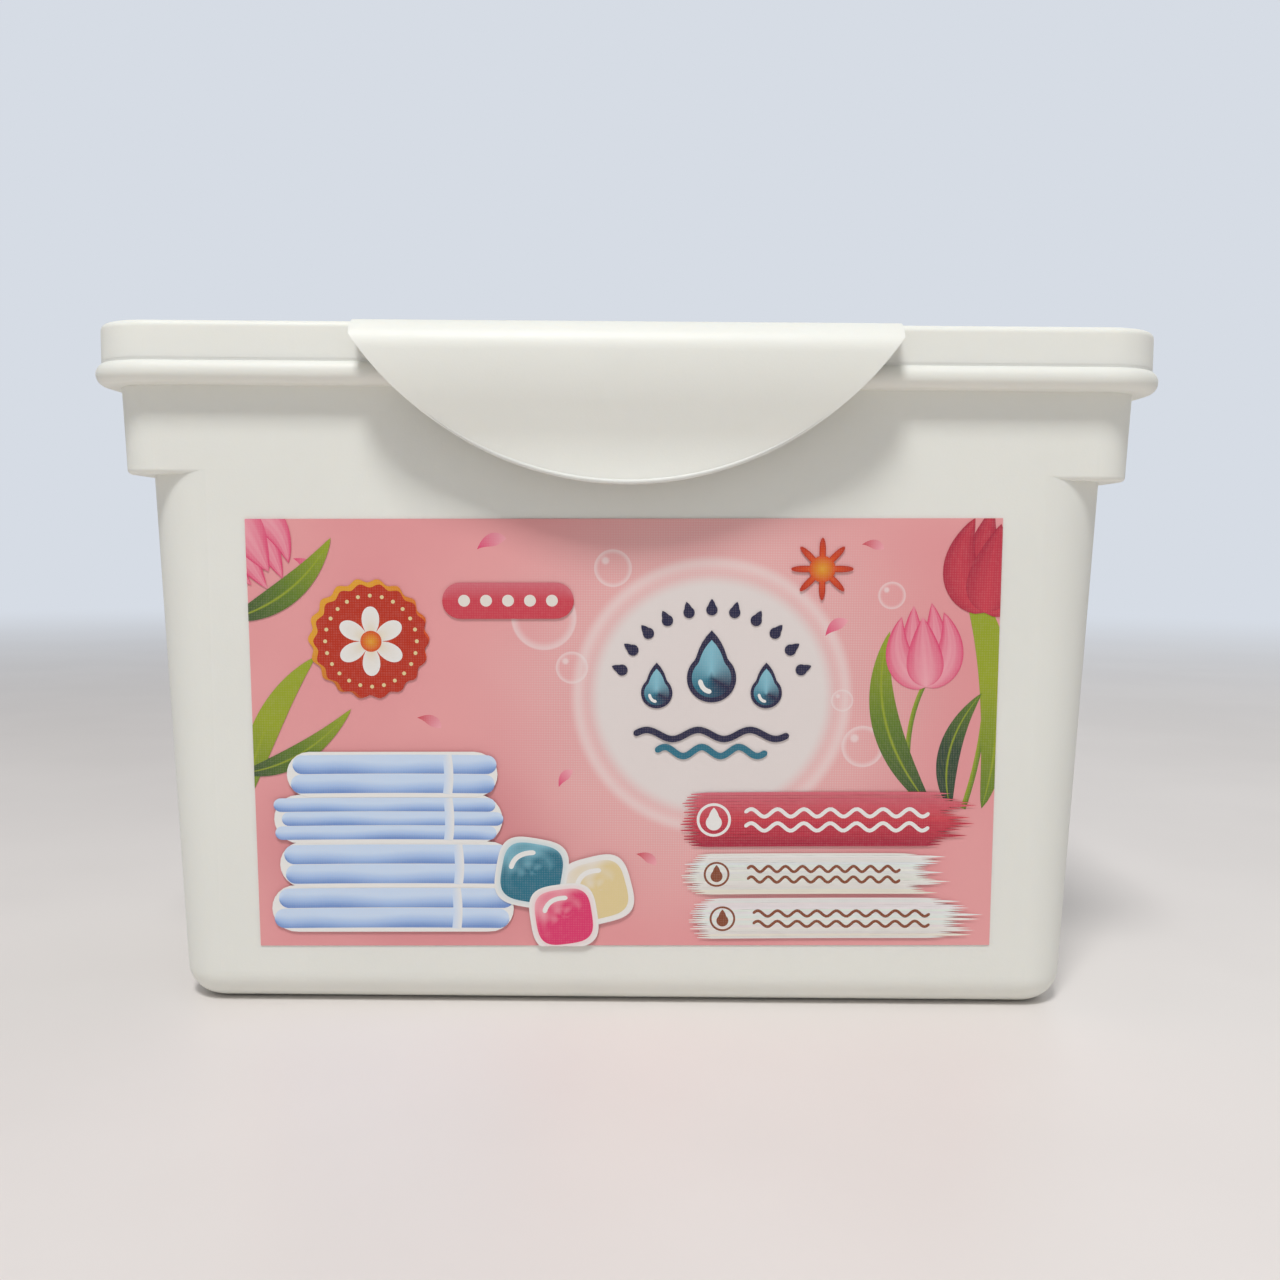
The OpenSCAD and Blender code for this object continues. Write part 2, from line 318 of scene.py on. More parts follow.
@dataclass(frozen=True)
class LabelGround:
    """The label's film with its pink ground, its pale glow and soft bubbles, printed in fine dots."""

    name: str
    glow_at: tuple[float, float]
    glow_r: float
    shade_at: tuple[float, float] = (-34.0, 26.4)
    shade_size: tuple[float, float] = (30.0, 19.0)
    halftone: Halftone = Halftone()
    bubbles: tuple[tuple[float, float, float], ...] = (
        (-13.0, 64.5, 5.2),
        (-8.5, 56.5, 2.6),
        (38.5, 44.0, 3.4),
        (42.5, 68.5, 2.2),
        (-2.0, 72.5, 3.0),
        (35.0, 51.5, 1.8),
    )

    def distance(self, paint: Paint, point: Wire, x: float, z: float) -> Wire:
        """Returns the distance of a point from a place on the label, in millimetres."""
        return paint.node(
            "VectorMath", {"operation": "DISTANCE"}, {0: point, 1: (x, 0.0, z)}, output="Value"
        )

    def material(self) -> bpy.types.Material:
        """Builds the material.

        Returns:
            The finished material.
        """
        paint = Paint(self.name)
        x, _, z = paint.parts(paint.place())
        flat = paint.node("CombineXYZ", None, {"X": x, "Y": 0.0, "Z": z})
        dots = self.halftone.dots(paint, x, z)
        cloud = paint.noise(flat, 0.03, 2.0)
        ground = paint.mix(paint.steps(cloud, 0.35, 0.65), linear(230, 154, 156), linear(234, 163, 163))
        far = self.distance(paint, flat, *self.glow_at)
        r = self.glow_r
        (shade_x, shade_z), (shade_w, shade_h) = self.shade_at, self.shade_size
        under = paint.node(
            "VectorMath",
            {"operation": "MULTIPLY_ADD"},
            {0: flat, 1: (1 / shade_w, 0.0, 1 / shade_h), 2: (-shade_x / shade_w, 0.0, -shade_z / shade_h)},
        )
        shade = paint.below(paint.length(under), 0.5, 1.1)
        ground = paint.mix(shade * 0.34, ground, linear(190, 104, 112))
        halo = paint.below(far, r, r * 2.1)
        ground = paint.mix(halo * (0.16 + dots * 0.42), ground, linear(232, 212, 206))
        core = paint.below(far, r * 0.86, r * 1.03)
        ground = paint.mix(core * 0.94, ground, linear(229, 222, 218))
        rim = paint.band(far, r * 0.95, r * 1.05, r * 1.13)
        ground = paint.mix(rim * 0.55, ground, linear(238, 226, 222))
        for bubble_x, bubble_z, size in self.bubbles:
            off = self.distance(paint, flat, bubble_x, bubble_z)
            ring = paint.band(off, size * 0.7, size * 0.97, size * 1.03)
            lit = self.distance(paint, flat, bubble_x - size * 0.4, bubble_z + size * 0.4)
            gleam = paint.below(lit, size * 0.1, size * 0.28)
            ground = paint.mix(ring * 0.5 + gleam * 0.6, ground, linear(240, 228, 226))
        return paint.finish(Base_Color=ground, **film_surface(paint, flat, 0.4 + (cloud - 0.5) * 0.1))


@dataclass(frozen=True)
class PrintedFilm:
    """The print's inks, each broken up by fine dots, under the label's own film."""

    name: str
    halftone: Halftone = Halftone()
    dot_depth: float = 0.07

    def material(self) -> bpy.types.Material:
        """Builds the material.

        Returns:
            The finished material.
        """
        paint = Paint(self.name)
        point = paint.place()
        x, _, z = paint.parts(point)
        ink = paint.node("Attribute", {"attribute_name": "ink"}, None, output="Color")
        dots = self.halftone.dots(paint, x, z)
        grain = paint.noise(point, 1.6, 3.0)
        worn = paint.mix(dots * self.dot_depth + (grain - 0.5) * 0.12, ink, linear(236, 214, 208))
        return paint.finish(Base_Color=worn, **film_surface(paint, point, 0.38))


@dataclass(frozen=True)
class GelFilm:
    """A thin glossy film, filled with coloured gel and clear along its sealed rim."""

    name: str

    def material(self) -> bpy.types.Material:
        """Builds the material. Its piece carries a gel colour, whose alpha is 0 on the bare film.

        Returns:
            The finished material.
        """
        paint = Paint(self.name)
        point = paint.place()
        gel = paint.node("Attribute", {"attribute_name": "gel"}, None, output="Color")
        filled = paint.node("Attribute", {"attribute_name": "gel"}, None, output="Alpha")
        swirl = paint.noise(point, 0.16, 4.0, 0.62)
        beads = paint.node(
            "TexVoronoi", {"feature": "F1"}, {"Vector": point, "Scale": 0.55, "Randomness": 1.0}
        )
        bubble = paint.below(beads, 0.08, 0.2) * filled
        deep = paint.mix(paint.steps(swirl, 0.4, 0.66) * 0.45, gel, linear(240, 236, 226))
        deep = paint.mix(bubble * 0.5, deep, linear(246, 246, 240))
        film = paint.noise(point, 0.5, 3.0)
        return paint.finish(
            Base_Color=paint.mix(filled, linear(226, 230, 232), deep),
            Roughness=0.14 + film * 0.12,
            IOR=1.45,
            Coat_Weight=0.6,
            Coat_Roughness=0.06,
            Subsurface_Weight=0.3,
            Subsurface_Radius=(1.0, 0.8, 0.8),
            Subsurface_Scale=2.0 * MM,
            Alpha=0.62 + filled * 0.38,
            Normal=paint.bump(film, 0.35, 0.0004),
        )


def new_piece(name: str, work: bmesh.types.BMesh, place: Matrix) -> bpy.types.Object:
    """Turns a bmesh into an object at the origin, with its place in its mesh.

    Args:
        name: The piece's name.
        work: The bmesh, which is freed.
        place: The turn, scale and place that its points get.

    Returns:
        The new object.
    """
    mesh = bpy.data.meshes.new(name)
    bmesh.ops.transform(work, matrix=place, verts=work.verts[:])
    work.to_mesh(mesh)
    work.free()
    piece = bpy.data.objects.new(name, mesh)
    bpy.context.scene.collection.objects.link(piece)
    return piece


# Tub and lid


@dataclass
class SealRidge:
    """The low ridge on the tub's bead that closes the view into the seam under the lid's skirt."""

    axis_x: float = 74.6
    axis_y: float = 29.6
    corner_r: float = 9.5
    inset: float = 0.01
    width: float = 0.7
    low: float = 104.0
    high: float = 104.485
    corner_cells: int = 16

    def loop(self, work: bmesh.types.BMesh, inside: float, z: float) -> list[bmesh.types.BMEdge]:
        """Adds one loop with round corners.

        Args:
            work: The bmesh it is added to.
            inside: How far it lies inside the skirt's face.
            z: Its height.

        Returns:
            The loop's edges.
        """
        step = math.pi / 2 / self.corner_cells
        made = bmesh.ops.create_circle(
            work, segments=4 * self.corner_cells, radius=1.0, matrix=Matrix.Rotation(step / 2, 4, "Z")
        )
        r = self.corner_r - inside
        for vert in made["verts"]:
            turn = math.atan2(abs(vert.co.y), abs(vert.co.x)) - step / 2
            turn = turn * (math.pi / 2) / (math.pi / 2 - step)
            vert.co = (
                math.copysign(self.axis_x + r * math.cos(turn), vert.co.x),
                math.copysign(self.axis_y + r * math.sin(turn), vert.co.y),
                z,
            )
        return list({edge for vert in made["verts"] for edge in vert.link_edges})

    def build(self, finish: bpy.types.Material) -> bpy.types.Object:
        """Builds the ridge.

        Args:
            finish: The tub's material.

        Returns:
            The ridge's object, which rides on the tub.
        """
        work = bmesh.new()
        outer, inner = self.inset, self.inset + self.width
        corners = ((outer, self.low), (outer, self.high), (inner, self.high), (inner, self.low))
        loops = [self.loop(work, inside, z) for inside, z in corners]
        for k, edges in enumerate(loops):
            bmesh.ops.bridge_loops(work, edges=edges + loops[(k + 1) % len(loops)])
        bmesh.ops.recalc_face_normals(work, faces=work.faces[:])
        piece = new_piece("seal_ridge", work, Matrix.Scale(MM, 4))
        piece.data.materials.append(finish)
        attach(piece, "tub")
        return piece


@dataclass
class TabLip:
    """The thin rounded lip along the outline of the lid's pull tab, in millimetres."""

    tab_r: float = 50.6
    tip_z: float = 85.5
    top_z: float = 101.0
    bow_y: float = 19.0
    bow_z: float = 105.25
    bow_r: float = 26.0
    lean: float = 17.0
    flare_h: float = 7.9
    flare_r: float = 18.0
    lip_r: float = 0.4
    inset: float = 0.34
    sunk: float = 0.24
    taper: float = 0.4
    cells: tuple[int, int] = (150, 10)

    def front(self, z: float) -> float:
        """Returns how far forwards the tab stands at a height, on its bow, its flat or its flare."""
        rise, run = math.sin(math.radians(self.lean)), math.cos(math.radians(self.lean))
        if z > self.bow_z - self.bow_r * rise:
            return self.bow_y + math.sqrt(self.bow_r**2 - (z - self.bow_z) ** 2)
        bend_z = self.tip_z + self.flare_h
        flat = self.bow_y + (self.bow_r - (self.bow_z - max(z, bend_z)) * rise) / run
        if z > bend_z:
            return flat
        flare_y, flare_z = flat + self.flare_r * run, bend_z - self.flare_r * rise
        return flare_y - math.sqrt(self.flare_r**2 - (z - flare_z) ** 2)

    def middle(self, u: float) -> Vector:
        """Returns the middle of the lip at a share of its length."""
        centre_z = self.tip_z + self.tab_r
        r = self.tab_r - self.inset
        angle = (2 * u - 1) * math.acos((centre_z - self.top_z) / r)
        z = centre_z - r * math.cos(angle)
        return Vector((r * math.sin(angle), self.sunk - self.front(z), z))

    def spot(self, u: float, v: float) -> Vector:
        """Returns a point of the lip's surface, at a share of its length and a share of a turn."""
        near = 0.002
        ahead = (self.middle(min(u + near, 1.0)) - self.middle(max(u - near, 0.0))).normalized()
        side = ahead.cross(Vector((0, 1, 0))).normalized()
        r = self.lip_r * math.sin(math.pi * u) ** self.taper if 0.0 < u < 1.0 else 0.0
        turn = 2 * math.pi * v
        return self.middle(u) + (side * math.cos(turn) + ahead.cross(side) * math.sin(turn)) * r

    def build(self, finish: bpy.types.Material) -> bpy.types.Object:
        """Builds the lip.

        Args:
            finish: The lid's material.

        Returns:
            The lip's object, which rides on the lid.
        """
        work = bmesh.new()
        grid = bmesh.ops.create_grid(work, x_segments=self.cells[0], y_segments=self.cells[1], size=0.5)
        for vert in grid["verts"]:
            vert.co = self.spot(vert.co.x + 0.5, vert.co.y + 0.5)
        bmesh.ops.remove_doubles(work, verts=work.verts[:], dist=0.01)
        bmesh.ops.recalc_face_normals(work, faces=work.faces[:])
        for face in work.faces:
            face.smooth = True
        piece = new_piece("tab_lip", work, Matrix.Scale(MM, 4))
        piece.data.materials.append(finish)
        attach(piece, "lid")
        return piece


# Label


class Ink(Enum):
    """The inks of the label's print."""

    ROSE = linear(212, 108, 120)
    CREAM = linear(232, 226, 216)
    WHITE = linear(236, 235, 231)
    RED = linear(206, 62, 78)
    DEEP = linear(170, 34, 62)
    MAGENTA = linear(222, 52, 108)
    BLUSH = linear(240, 168, 178)
    BRICK = linear(186, 44, 16)
    FLAME = linear(214, 74, 22)
    GOLD = linear(226, 160, 40)
    NAVY = linear(28, 30, 66)
    TEAL = linear(34, 112, 134)
    AQUA = linear(132, 190, 206)
    SKY = linear(204, 222, 244)
    CLOTH = linear(166, 194, 234)
    FOLD = linear(112, 146, 204)
    OLIVE = linear(152, 166, 34)
    LEAF = linear(92, 122, 36)
    PINE = linear(34, 62, 52)
    BROWN = linear(134, 72, 44)
    STRAW = linear(226, 206, 152)


Spot = Callable[[float, float], Vector]
Tint = Callable[[float, float], Colour]
Profile = Callable[[float], float]
Pair = tuple[float, float]


def blend(share: float, *colours: Colour) -> Colour:
    """Returns the colour at a share, 0 to 1, of the way through a row of colours."""
    place = min(max(share, 0.0), 1.0) * (len(colours) - 1)
    k = min(int(place), len(colours) - 2)
    return tuple(a + (b - a) * (place - k) for a, b in zip(colours[k], colours[k + 1]))


def plain(ink: Ink) -> Tint:
    """Returns one ink all over."""
    return lambda u, v: ink.value


def along(*inks: Ink) -> Tint:
    """Returns inks that follow each other along a shape."""
    return lambda u, v: blend(u, *(ink.value for ink in inks))


def across(*inks: Ink) -> Tint:
    """Returns inks that follow each other across a shape."""
    return lambda u, v: blend(v, *(ink.value for ink in inks))


def veined(rib: Ink, *inks: Ink) -> Tint:
    """Returns inks that follow each other along a leaf, with a rib along its middle and fine veins."""

    def tint(u: float, v: float) -> Colour:
        """Returns the ink at one point of the leaf."""
        side = abs(v - 0.5)
        line = math.exp(-((side / 0.035) ** 2))
        fine = 0.12 * (0.5 + 0.5 * math.sin(60 * (u - 0.6 * side)))
        return blend(max(line, fine), blend(u, *(ink.value for ink in inks)), rib.value)

    return tint


def curve(start: Pair, bend: Pair, end: Pair) -> Callable[[float], Vector]:
    """Returns a path that starts and ends at two points and bends towards a third."""
    a, b, c = (Vector(p) for p in (start, bend, end))
    return lambda u: a * (1 - u) ** 2 + b * (2 * u * (1 - u)) + c * u**2


def strip(path: Callable[[float], Vector], width: Profile) -> Spot:
    """Returns a shape that follows a path, with a width that changes along it."""

    def spot(u: float, v: float) -> Vector:
        """Returns one point of the strip."""
        ahead = path(u + 0.01) - path(u - 0.01)
        side = Vector((-ahead.y, ahead.x)).normalized()
        return path(u) + side * (width(u) * (v - 0.5))

    return spot


def eased(shape: Spot) -> Spot:
    """Returns the same shape with its cells closer together towards both ends."""
    return lambda u, v: shape(0.5 - 0.5 * math.cos(math.pi * u), v)


def round_spot(x: float, z: float, radius: Profile, turn: float = 0.0) -> Spot:
    """Returns a shape round a middle, with a radius that changes with the angle, in turns of 0 to 1."""

    def spot(u: float, v: float) -> Vector:
        """Returns one point of the shape, where u goes outwards and v goes round."""
        angle = 2 * math.pi * v
        out = u * radius(v)
        return Vector((x + out * math.cos(angle + turn), z + out * math.sin(angle + turn)))

    return spot


def leaf_width(width: float, fullest: float = 0.45) -> Profile:
    """Returns the width profile of a leaf, pointed at both ends and fullest at a share of its length."""
    power = math.log(0.5) / math.log(fullest)
    return lambda u: width * math.sin(math.pi * min(max(u, 0.0), 1.0) ** power) ** 0.8


def capsule_width(length: float, height: float) -> Profile:
    """Returns the width profile of a bar with round ends."""

    def width(u: float) -> float:
        """Returns the height of the bar at a share of its length."""
        ends = min(u, 1 - u) * length / (height / 2)
        return height * math.sqrt(max(0.0, 1 - max(0.0, 1 - ends) ** 2))

    return width


class InkSheet:
    """Thin inked plates that lie in layers, drawn in millimetres from the label's centre."""

    def __init__(self, layer_mm: float) -> None:
        """Starts an empty sheet whose layers are this far apart."""
        self.work = bmesh.new()
        self.ink = self.work.verts.layers.float_color.new("ink")
        self.layer_mm = layer_mm
        self.layer = 0

    def raise_layer(self) -> "InkSheet":
        """Lets the next plates lie in front of those before, and returns the sheet."""
        self.layer += 1
        return self

    def plate(self, spot: Spot, tint: Tint, cells: tuple[int, int] = (12, 4)) -> None:
        """Adds a plate to the layer.

        Args:
            spot: Where a point of the plate lies, from its two shares of 0 to 1.
            tint: The ink there.
            cells: Number of cells along and across.
        """
        grid = bmesh.ops.create_grid(self.work, x_segments=cells[0], y_segments=cells[1], size=0.5)
        for vert in grid["verts"]:
            u, v = vert.co.x + 0.5, vert.co.y + 0.5
            place = spot(u, v)
            vert.co = (place.x, -self.layer * self.layer_mm, place.y)
            vert[self.ink] = (*tint(u, v), 1.0)

    def disc(self, x: float, z: float, r: float, tint: Tint, cells: tuple[int, int] = (4, 32)) -> None:
        """Adds a disc."""
        self.plate(round_spot(x, z, lambda v: r), tint, cells)

    def bar(self, x: float, z: float, w: float, h: float, tint: Tint) -> None:
        """Adds a bar with round ends about a middle."""
        path = curve((x - w / 2, z), (x, z), (x + w / 2, z))
        self.plate(eased(strip(path, capsule_width(w, h))), tint, (28, 6))

    def line(self, path: Callable[[float], Vector], width: float, ink: Ink, cells: int = 24) -> None:
        """Adds a thin line with round ends along a path."""
        span = (path(1.0) - path(0.0)).length
        shape = strip(path, capsule_width(max(span, width), width))
        self.plate(eased(shape), plain(ink), (cells, 2))

    def drop(self, x: float, z: float, size: float, tint: Tint, turn: float = 0.0) -> None:
        """Adds a water drop whose tip points up when it isn't turned."""

        def radius(v: float) -> float:
            """Returns the drop's radius, longest at its tip."""
            off = abs((v + 0.5) % 1 - 0.5) * 2
            return size * (0.36 + 0.34 * max(0.0, 1 - off * 4.2) ** 1.5)

        self.plate(round_spot(x, z, radius, math.pi / 2 + turn), tint, (5, 48))

    def sparkle(self, x: float, z: float, size: float, points: int, tint: Tint) -> None:
        """Adds a star with hollow sides."""

        def radius(v: float) -> float:
            """Returns the star's radius, longest at its points."""
            return size * (0.28 + 0.72 * abs(math.cos(math.pi * v * points)) ** 3)

        self.plate(round_spot(x, z, radius, math.pi / 2), tint, (4, 16 * points))

    def crop(self, half_w: float, half_h: float) -> None:
        """Cuts away what reaches past the label's edges."""
        for side, no in ((half_w, (1, 0, 0)), (half_h, (0, 0, 1))):
            for sign in (-1, 1):
                normal = Vector(no) * sign
                bmesh.ops.bisect_plane(
                    self.work,
                    geom=self.work.verts[:] + self.work.edges[:] + self.work.faces[:],
                    plane_co=normal * side,
                    plane_no=normal,
                    clear_outer=True,
                )

    def closed(self, thickness: float) -> bmesh.types.BMesh:
        """Gives each plate its thickness and returns the mesh, still in millimetres."""
        bmesh.ops.remove_doubles(self.work, verts=self.work.verts[:], dist=self.layer_mm / 20)
        bmesh.ops.dissolve_degenerate(self.work, dist=self.layer_mm / 20, edges=self.work.edges[:])
        bmesh.ops.recalc_face_normals(self.work, faces=self.work.faces[:])
        bmesh.ops.solidify(self.work, geom=self.work.faces[:], thickness=thickness)
        bmesh.ops.recalc_face_normals(self.work, faces=self.work.faces[:])
        return self.work


@dataclass
class Label:
    """The front label: its ground on the film and its print on top, all in millimetres."""

    width: float = 120.0
    height: float = 70.0
    film_front: float = 0.17
    centre_z: float = 45.4
    wall_y: float = 33.46
    draft: float = 2.8
    turn: float = 0.5
    layer_mm: float = 0.006
    plate_mm: float = 0.004
    seed: int = 7
    glow: tuple[float, float, float] = (14.0, 6.5, 20.5)
    inks: InkSheet = field(init=False)

    def __post_init__(self) -> None:
        """Starts the sheet and the source of its small irregularities."""
        self.inks = InkSheet(self.layer_mm)
        self.chance = random.Random(self.seed)

    def place(self) -> Matrix:
        """Returns the turn and place of the label's front on the wall, from millimetres to metres."""
        return (
            Matrix.Scale(MM, 4)
            @ Matrix.Translation((0, -self.wall_y, self.centre_z))
            @ Matrix.Rotation(math.radians(self.draft), 4, "X")
            @ Matrix.Rotation(math.radians(-self.turn), 4, "Y")
            @ Matrix.Translation((0, -self.film_front, 0))
        )

    def tulip(self, x: float, z: float, size: float, lean: float, inner: Ink, outer: Ink) -> None:
        """Draws a flower with pointed petals.

        Args:
            x: Place of its base across.
            z: Place of its base upwards.
            size: Its height.
            lean: How far it leans to the right, in degrees.
            inner: Ink of the petals' middles.
            outer: Ink of their edges.
        """
        up = Vector((math.sin(math.radians(lean)), math.cos(math.radians(lean))))
        right = Vector((up.y, -up.x))

        def petal(spread: float, length: float, width: float) -> None:
            """Draws one petal that spreads to a side."""
            base = Vector((x, z))
            bend = base + (right * (spread * 1.15) + up * (0.3 * length)) * size
            tip = base + (right * (spread * 0.62) + up * length) * size

            def tint(u: float, v: float) -> Colour:
                """Shades the petal from its middle to its edges, with fine streaks."""
                edge = abs(v - 0.5) * 2
                streak = 0.14 * math.sin(v * 46 + 3 * u) * u
                return blend(edge**1.6 * 0.7 + u * 0.35 + streak, inner.value, outer.value)

            self.inks.raise_layer().plate(
                strip(curve(tuple(base), tuple(bend), tuple(tip)), leaf_width(width * size, 0.42)),
                tint,
                (18, 12),
            )

        for spread, length, width in (
            (-0.16, 0.98, 0.36),
            (0.18, 1.0, 0.36),
            (-0.4, 0.86, 0.34),
            (0.4, 0.88, 0.34),
            (0.0, 0.84, 0.44),
        ):
            petal(spread, length, width)

    def leaf(self, start: Pair, bend: Pair, end: Pair, width: float, *inks: Ink) -> None:
        """Draws a long leaf from its foot to its tip."""
        self.inks.raise_layer().plate(
            strip(curve(start, bend, end), leaf_width(width)), veined(Ink.OLIVE, *inks), (34, 14)
        )

    def stem(self, start: Pair, bend: Pair, end: Pair) -> None:
        """Draws a thin stem."""
        self.inks.raise_layer().plate(
            strip(curve(start, bend, end), lambda u: 0.9 - 0.2 * u), across(Ink.LEAF, Ink.OLIVE), (20, 3)
        )

    def garden(self) -> None:
        """Draws flowers and leaves along the right edge and in two corners on the left."""
        self.stem((47, -12), (44, 0), (48.5, 9))
        self.stem((55, -12), (60, 4), (57, 21))
        self.leaf((50, -12), (38, 2), (42.5, 17), 4.6, Ink.PINE, Ink.LEAF, Ink.OLIVE)
        self.leaf((58, -12), (64, 10), (52.5, 29), 5.4, Ink.LEAF, Ink.OLIVE, Ink.OLIVE)
        self.leaf((53, -12), (50, -2), (57.5, 7), 3.6, Ink.PINE, Ink.PINE, Ink.LEAF)
        self.tulip(48.5, 8, 13.5, -4, Ink.BLUSH, Ink.MAGENTA)
        self.tulip(57.5, 20, 17, 9, Ink.RED, Ink.DEEP)
        self.leaf((-62, -12), (-59, 4), (-49.5, 13), 4.4, Ink.LEAF, Ink.OLIVE, Ink.OLIVE)
        self.leaf((-62, -6), (-52, -5), (-44, 4.5), 3.4, Ink.PINE, Ink.LEAF, Ink.OLIVE)
        self.leaf((-63, 19), (-52, 22), (-46.5, 32), 4.2, Ink.PINE, Ink.LEAF, Ink.OLIVE)
        self.tulip(-62, 37, 14, 152, Ink.BLUSH, Ink.MAGENTA)

    def petals(self) -> None:
        """Scatters small fallen petals."""
        self.inks.raise_layer()
        for x, z, size, turn, inner, outer in (
            (-21, 31, 5.0, 20, Ink.MAGENTA, Ink.BLUSH),
            (-31.5, 2.2, 4.2, -24, Ink.RED, Ink.BLUSH),
            (-9.5, -7, 3.6, 50, Ink.MAGENTA, Ink.BLUSH),
            (39.5, 30.5, 3.6, -12, Ink.RED, Ink.BLUSH),
            (34, 17.5, 4.4, 34, Ink.MAGENTA, Ink.BLUSH),
            (3.5, -20.5, 3.8, -30, Ink.RED, Ink.BLUSH),
            (-51, 27.5, 4.0, -38, Ink.MAGENTA, Ink.BLUSH),
        ):
            reach = Vector((math.cos(math.radians(turn)), math.sin(math.radians(turn)))) * size / 2
            rise = Vector((-reach.y, reach.x)) * 0.5
            middle = Vector((x, z))
            path = curve(tuple(middle - reach), tuple(middle + rise), tuple(middle + reach))
            self.inks.plate(strip(path, leaf_width(size * 0.42, 0.6)), along(inner, outer), (14, 6))

    def emblem(self) -> None:
        """Draws three water drops over two waves inside the pale glow, under an arch of small drops."""
        x, z, _ = self.glow
        self.inks.raise_layer()
        for k in range(11):
            angle = math.radians(158 - 13.6 * k)
            self.inks.drop(
                x + 15.5 * math.cos(angle),
                z - 1.5 + 15.5 * math.sin(angle),
                2.5,
                plain(Ink.NAVY),
                angle - math.pi / 2,
            )
        water = across(Ink.AQUA, Ink.TEAL, Ink.NAVY, Ink.AQUA)
        for off, size, lift in ((0.0, 11.0, 3.0), (-8.8, 7.0, 0.6), (8.8, 7.0, 0.6)):
            self.inks.raise_layer().drop(x + off, z + lift, size, plain(Ink.NAVY))
            self.inks.raise_layer().drop(x + off, z + lift, size * 0.8, water)
            self.inks.raise_layer()
            gleam = curve(
                (x + off - size * 0.17, z + lift - size * 0.02),
                (x + off - size * 0.14, z + lift - size * 0.2),
                (x + off, z + lift - size * 0.2),
            )
            self.inks.line(gleam, size * 0.07, Ink.WHITE)
        for row, (reach, ink) in enumerate(((12.5, Ink.NAVY), (9.0, Ink.TEAL))):
            low = z - 6.2 - 2.8 * row
            self.inks.line(
                lambda u, r=reach, b=low: Vector(
                    (x - r + 2 * r * u, b + 0.75 * math.sin(6 * math.pi * u))
                ),
                1.05,
                ink,
                72,
            )

    def seal(self) -> None:
        """Draws a round scalloped seal with a gold rim and a pale flower."""
        x, z, r = -40.5, 15.5, 9.4
        ring = 0.78 * r

        def scallop(v: float) -> float:
            """Returns the seal's radius, with small waves along its edge."""
            return r * (1 + 0.035 * math.cos(36 * math.pi * v))

        self.inks.raise_layer().plate(
            round_spot(x - 0.35, z + 0.35, scallop),
            across(Ink.FLAME, Ink.GOLD, Ink.GOLD, Ink.BRICK, Ink.FLAME),
            (4, 144),
        )
        self.inks.raise_layer().plate(
            round_spot(x, z, lambda v: 0.95 * scallop(v)),
            along(Ink.FLAME, Ink.BRICK, Ink.BRICK),
            (6, 144),
        )
        self.inks.raise_layer()
        for k in range(24):
            angle = math.radians(15 * k)
            self.inks.disc(
                x + ring * math.cos(angle), z + ring * math.sin(angle), 0.32, plain(Ink.STRAW), (2, 10)
            )
        self.inks.raise_layer().plate(
            round_spot(x, z, lambda v: 5.6 * (0.3 + 0.7 * abs(math.sin(6 * math.pi * v)) ** 0.7)),
            along(Ink.STRAW, Ink.CREAM, Ink.WHITE),
            (5, 120),
        )
        self.inks.raise_layer().disc(x, z, 1.7, along(Ink.GOLD, Ink.FLAME))

    def pill(self) -> None:
        """Draws a small red bar with five pale dots."""
        self.inks.raise_layer().bar(-18.5, 22.0, 21, 5.8, across(Ink.RED, Ink.RED, Ink.ROSE))
        self.inks.raise_layer()
        for k in range(5):
            self.inks.disc(-25.5 + 3.5 * k, 22.0, 0.95, plain(Ink.CREAM), (2, 20))

    def sun(self) -> None:
        """Draws a flame-coloured star."""
        self.inks.raise_layer().sparkle(31.5, 27.0, 5.0, 8, along(Ink.GOLD, Ink.FLAME, Ink.BRICK))
        self.inks.raise_layer().disc(31.5, 27.0, 2.1, along(Ink.GOLD, Ink.FLAME))

    def brushed(self, x: float, z: float, w: float, h: float, *inks: Ink) -> None:
        """Draws a bar of brush strokes with ragged ends.

        Args:
            x: Its middle across.
            z: Its middle upwards.
            w: Its length.
            h: Its height.
            inks: The inks from its lower edge to its upper edge.
        """
        strokes = 18
        self.inks.raise_layer()
        for k in range(strokes):
            share = (k + 0.5) / strokes
            bow = math.sin(math.pi * share) ** 0.5
            left = x - w / 2 * (0.9 + 0.1 * bow) + self.chance.uniform(-0.8, 0.8)
            right = x + w / 2 * (0.84 + 0.16 * bow) + self.chance.uniform(-3.0, 2.2)
            low = z + h * (share - 0.5)
            tone = blend(share, *(ink.value for ink in inks))
            shade = tuple(c * self.chance.uniform(0.94, 1.04) for c in tone)
            path = curve((left, low), ((left + right) / 2, low + 0.2), (right, low + 0.1))
            width = h / strokes * 1.12
            self.inks.plate(
                strip(path, lambda u, t=width: t * min(1.0, (1 - u) * 14, u * 30 + 0.2)),
                lambda u, v, c=shade: c,
                (16, 1),
            )

